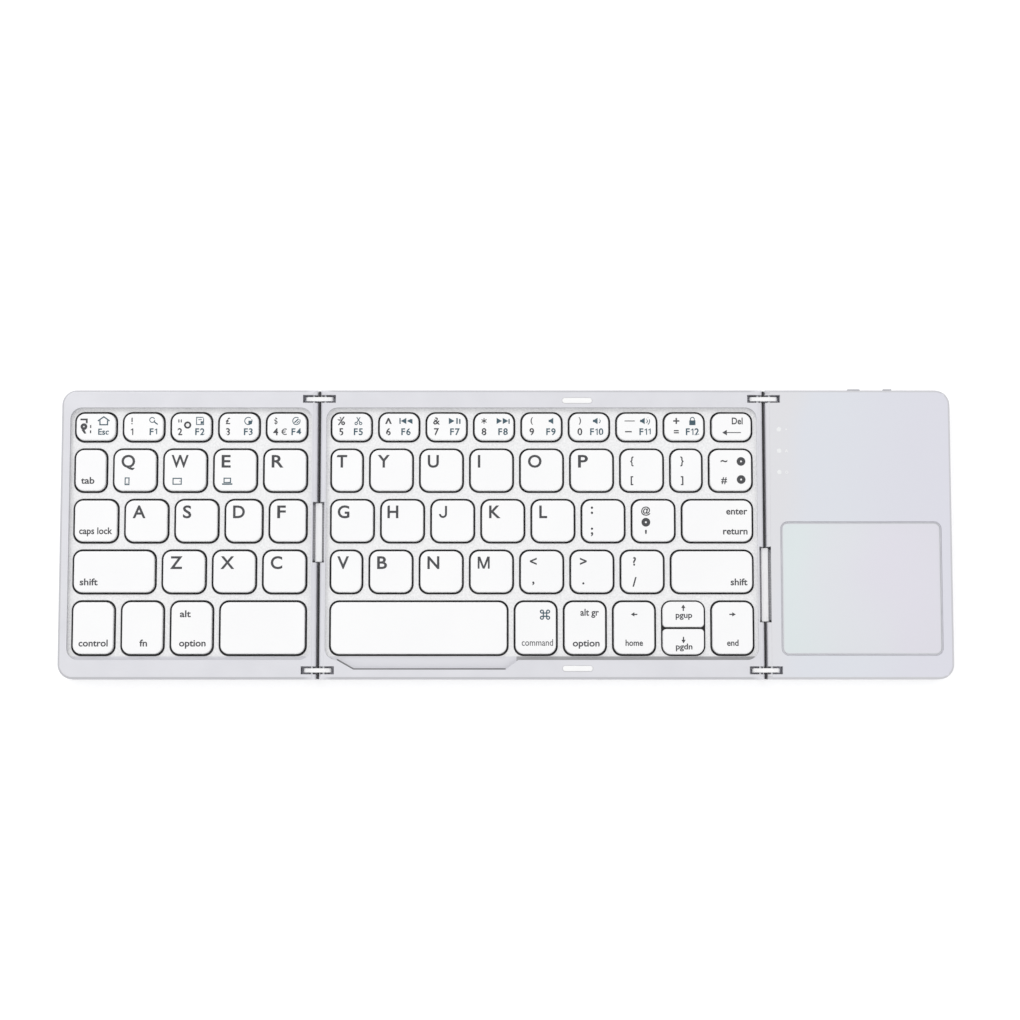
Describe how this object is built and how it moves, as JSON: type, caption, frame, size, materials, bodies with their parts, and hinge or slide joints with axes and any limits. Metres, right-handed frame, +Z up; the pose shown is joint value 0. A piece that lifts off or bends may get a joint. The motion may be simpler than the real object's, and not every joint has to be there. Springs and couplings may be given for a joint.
{
  "type": "folding keyboard",
  "caption": "Pocket keyboard in hinged panels: key panels and a touchpad panel on double-pivot hinges fold flat over the middle one.",
  "frame": {"origin": "on the desk under the middle of the open keyboard's outline", "axes": "+X to the right along the keys, +Y to the back, +Z up"},
  "size_m": [0.303, 0.099, 0.0082],
  "materials": {
    "case": "satin silver, fine bead-blasted",
    "frame": "satin silver with a faint lilac cast",
    "key_deck": "satin light grey",
    "base_plate": "bright zinc-plated sheet",
    "membrane": "clear polyester film with printed traces",
    "dome_rubber": "translucent silicone",
    "scissor": "smooth white",
    "screw_steel": "nickel-plated",
    "foot_rubber": "matte dark grey",
    "fold_pad": "matte white",
    "touch_cover": "satin pearl silver",
    "touch_surface": "satin pearl silver",
    "circuit_board": "green solder mask",
    "battery_foil": "pouch cell foil",
    "socket_steel": "stamped stainless sheet",
    "light_lens": "clear light guide",
    "control_grey": "satin grey",
    "hinge_white": "smooth white",
    "pin_steel": "polished pin",
    "flex_film": "white polyester flat cable",
    "keycap": "satin white"
  },
  "bodies": {
    "middle_panel": {"middle_bottom_case": "case", "middle_top_frame": "frame", "middle_key_deck": "key_deck", "middle_base_plate": "base_plate", "middle_membrane": "membrane", "middle_domes": "dome_rubber", "middle_scissors": "scissor", "middle_screws": "screw_steel", "middle_feet": "foot_rubber", "fold_pads": "fold_pad"},
    "left_panel": {"left_bottom_case": "case", "left_top_frame": "frame", "left_key_deck": "key_deck", "left_base_plate": "base_plate", "left_membrane": "membrane", "left_domes": "dome_rubber", "left_scissors": "scissor", "left_screws": "screw_steel", "left_feet": "foot_rubber"},
    "right_panel": {"right_bottom_case": "case", "right_top_cover": "touch_cover", "touchpad": "touch_surface", "touchpad_board": "circuit_board", "battery": "battery_foil", "main_board": "circuit_board", "charging_socket": "socket_steel", "indicator_lights": "light_lens", "right_screws": "screw_steel", "right_feet": "foot_rubber"},
    "left_hinge": {"left_hinge_frame": "hinge_white", "left_hinge_pins": "pin_steel", "left_cable_bridge": "hinge_white", "left_flex_cable": "flex_film"},
    "right_hinge": {"right_hinge_frame": "hinge_white", "right_hinge_pins": "pin_steel", "right_cable_bridge": "hinge_white", "right_flex_cable": "flex_film"},
    "keys_left_numbers": {"keys_left_numbers": "keycap"},
    "key_tab": {"key_tab": "keycap"},
    "keys_left_upper": {"keys_left_upper": "keycap"},
    "key_caps_lock": {"key_caps_lock": "keycap"},
    "keys_left_home": {"keys_left_home": "keycap"},
    "key_shift_left": {"key_shift_left": "keycap"},
    "keys_left_lower": {"keys_left_lower": "keycap"},
    "keys_left_modifiers": {"keys_left_modifiers": "keycap"},
    "key_space_left": {"key_space_left": "keycap"},
    "keys_middle_numbers": {"keys_middle_numbers": "keycap"},
    "keys_middle_upper": {"keys_middle_upper": "keycap"},
    "keys_middle_home": {"keys_middle_home": "keycap"},
    "key_enter": {"key_enter": "keycap"},
    "keys_middle_lower": {"keys_middle_lower": "keycap"},
    "key_shift_right": {"key_shift_right": "keycap"},
    "key_space_right": {"key_space_right": "keycap"},
    "keys_middle_modifiers": {"keys_middle_modifiers": "keycap"},
    "key_arrow_left": {"key_arrow_left": "keycap"},
    "key_arrow_up": {"key_arrow_up": "keycap"},
    "key_arrow_down": {"key_arrow_down": "keycap"},
    "key_arrow_right": {"key_arrow_right": "keycap"},
    "power_switch": {"power_switch_knob": "control_grey"},
    "connect_button": {"connect_button": "control_grey"}
  },
  "joints": [
    {"name": "left_fold_inner", "type": "hinge", "parent": "middle_panel", "child": "left_hinge", "pos_m": [-0.06165, 0, 0.0062], "axis": [0, 1, 0], "range_deg": [0, 90], "deforming": ["left_flex_cable"]},
    {"name": "left_fold_outer", "type": "hinge", "parent": "left_hinge", "child": "left_panel", "pos_m": [-0.06565, 0, 0.0062], "axis": [0, 1, 0], "range_deg": [0, 90], "deforming": ["left_flex_cable"]},
    {"name": "right_fold_inner", "type": "hinge", "parent": "middle_panel", "child": "right_hinge", "pos_m": [0.08595, 0, 0.0062], "axis": [0, -1, 0], "range_deg": [0, 90], "deforming": ["right_flex_cable"]},
    {"name": "right_fold_outer", "type": "hinge", "parent": "right_hinge", "child": "right_panel", "pos_m": [0.08995, 0, 0.0062], "axis": [0, -1, 0], "range_deg": [0, 90], "deforming": ["right_flex_cable"]},
    {"name": "keys_left_numbers_press", "type": "slide", "parent": "left_panel", "child": "keys_left_numbers", "axis": [0, 0, -1], "range_m": [0, 0.0015], "stiffness_N_per_m": 2000, "deforming": ["left_domes", "left_scissors"]},
    {"name": "key_tab_press", "type": "slide", "parent": "left_panel", "child": "key_tab", "axis": [0, 0, -1], "range_m": [0, 0.0015], "stiffness_N_per_m": 400, "deforming": ["left_domes", "left_scissors"]},
    {"name": "keys_left_upper_press", "type": "slide", "parent": "left_panel", "child": "keys_left_upper", "axis": [0, 0, -1], "range_m": [0, 0.0015], "stiffness_N_per_m": 1600, "deforming": ["left_domes", "left_scissors"]},
    {"name": "key_caps_lock_press", "type": "slide", "parent": "left_panel", "child": "key_caps_lock", "axis": [0, 0, -1], "range_m": [0, 0.0015], "stiffness_N_per_m": 400, "deforming": ["left_domes", "left_scissors"]},
    {"name": "keys_left_home_press", "type": "slide", "parent": "left_panel", "child": "keys_left_home", "axis": [0, 0, -1], "range_m": [0, 0.0015], "stiffness_N_per_m": 1600, "deforming": ["left_domes", "left_scissors"]},
    {"name": "key_shift_left_press", "type": "slide", "parent": "left_panel", "child": "key_shift_left", "axis": [0, 0, -1], "range_m": [0, 0.0015], "stiffness_N_per_m": 400, "deforming": ["left_domes", "left_scissors"]},
    {"name": "keys_left_lower_press", "type": "slide", "parent": "left_panel", "child": "keys_left_lower", "axis": [0, 0, -1], "range_m": [0, 0.0015], "stiffness_N_per_m": 1200, "deforming": ["left_domes", "left_scissors"]},
    {"name": "keys_left_modifiers_press", "type": "slide", "parent": "left_panel", "child": "keys_left_modifiers", "axis": [0, 0, -1], "range_m": [0, 0.0015], "stiffness_N_per_m": 1200, "deforming": ["left_domes", "left_scissors"]},
    {"name": "key_space_left_press", "type": "slide", "parent": "left_panel", "child": "key_space_left", "axis": [0, 0, -1], "range_m": [0, 0.0015], "stiffness_N_per_m": 400, "deforming": ["left_domes", "left_scissors"]},
    {"name": "keys_middle_numbers_press", "type": "slide", "parent": "middle_panel", "child": "keys_middle_numbers", "axis": [0, 0, -1], "range_m": [0, 0.0015], "stiffness_N_per_m": 3600, "deforming": ["middle_domes", "middle_scissors"]},
    {"name": "keys_middle_upper_press", "type": "slide", "parent": "middle_panel", "child": "keys_middle_upper", "axis": [0, 0, -1], "range_m": [0, 0.0015], "stiffness_N_per_m": 3600, "deforming": ["middle_domes", "middle_scissors"]},
    {"name": "keys_middle_home_press", "type": "slide", "parent": "middle_panel", "child": "keys_middle_home", "axis": [0, 0, -1], "range_m": [0, 0.0015], "stiffness_N_per_m": 2800, "deforming": ["middle_domes", "middle_scissors"]},
    {"name": "key_enter_press", "type": "slide", "parent": "middle_panel", "child": "key_enter", "axis": [0, 0, -1], "range_m": [0, 0.0015], "stiffness_N_per_m": 400, "deforming": ["middle_domes", "middle_scissors"]},
    {"name": "keys_middle_lower_press", "type": "slide", "parent": "middle_panel", "child": "keys_middle_lower", "axis": [0, 0, -1], "range_m": [0, 0.0015], "stiffness_N_per_m": 2800, "deforming": ["middle_domes", "middle_scissors"]},
    {"name": "key_shift_right_press", "type": "slide", "parent": "middle_panel", "child": "key_shift_right", "axis": [0, 0, -1], "range_m": [0, 0.0015], "stiffness_N_per_m": 400, "deforming": ["middle_domes", "middle_scissors"]},
    {"name": "key_space_right_press", "type": "slide", "parent": "middle_panel", "child": "key_space_right", "axis": [0, 0, -1], "range_m": [0, 0.0015], "stiffness_N_per_m": 400, "deforming": ["middle_domes", "middle_scissors"]},
    {"name": "keys_middle_modifiers_press", "type": "slide", "parent": "middle_panel", "child": "keys_middle_modifiers", "axis": [0, 0, -1], "range_m": [0, 0.0015], "stiffness_N_per_m": 800, "deforming": ["middle_domes", "middle_scissors"]},
    {"name": "key_arrow_left_press", "type": "slide", "parent": "middle_panel", "child": "key_arrow_left", "axis": [0, 0, -1], "range_m": [0, 0.0015], "stiffness_N_per_m": 400, "deforming": ["middle_domes", "middle_scissors"]},
    {"name": "key_arrow_up_press", "type": "slide", "parent": "middle_panel", "child": "key_arrow_up", "axis": [0, 0, -1], "range_m": [0, 0.0015], "stiffness_N_per_m": 400, "deforming": ["middle_domes", "middle_scissors"]},
    {"name": "key_arrow_down_press", "type": "slide", "parent": "middle_panel", "child": "key_arrow_down", "axis": [0, 0, -1], "range_m": [0, 0.0015], "stiffness_N_per_m": 400, "deforming": ["middle_domes", "middle_scissors"]},
    {"name": "key_arrow_right_press", "type": "slide", "parent": "middle_panel", "child": "key_arrow_right", "axis": [0, 0, -1], "range_m": [0, 0.0015], "stiffness_N_per_m": 400, "deforming": ["middle_domes", "middle_scissors"]},
    {"name": "power_switch_slide", "type": "slide", "parent": "right_panel", "child": "power_switch", "axis": [-1, 0, 0], "range_m": [0, 0.0025]},
    {"name": "connect_button_press", "type": "slide", "parent": "right_panel", "child": "connect_button", "axis": [0, -1, 0], "range_m": [0, 0.00035], "stiffness_N_per_m": 1200}
  ]
}
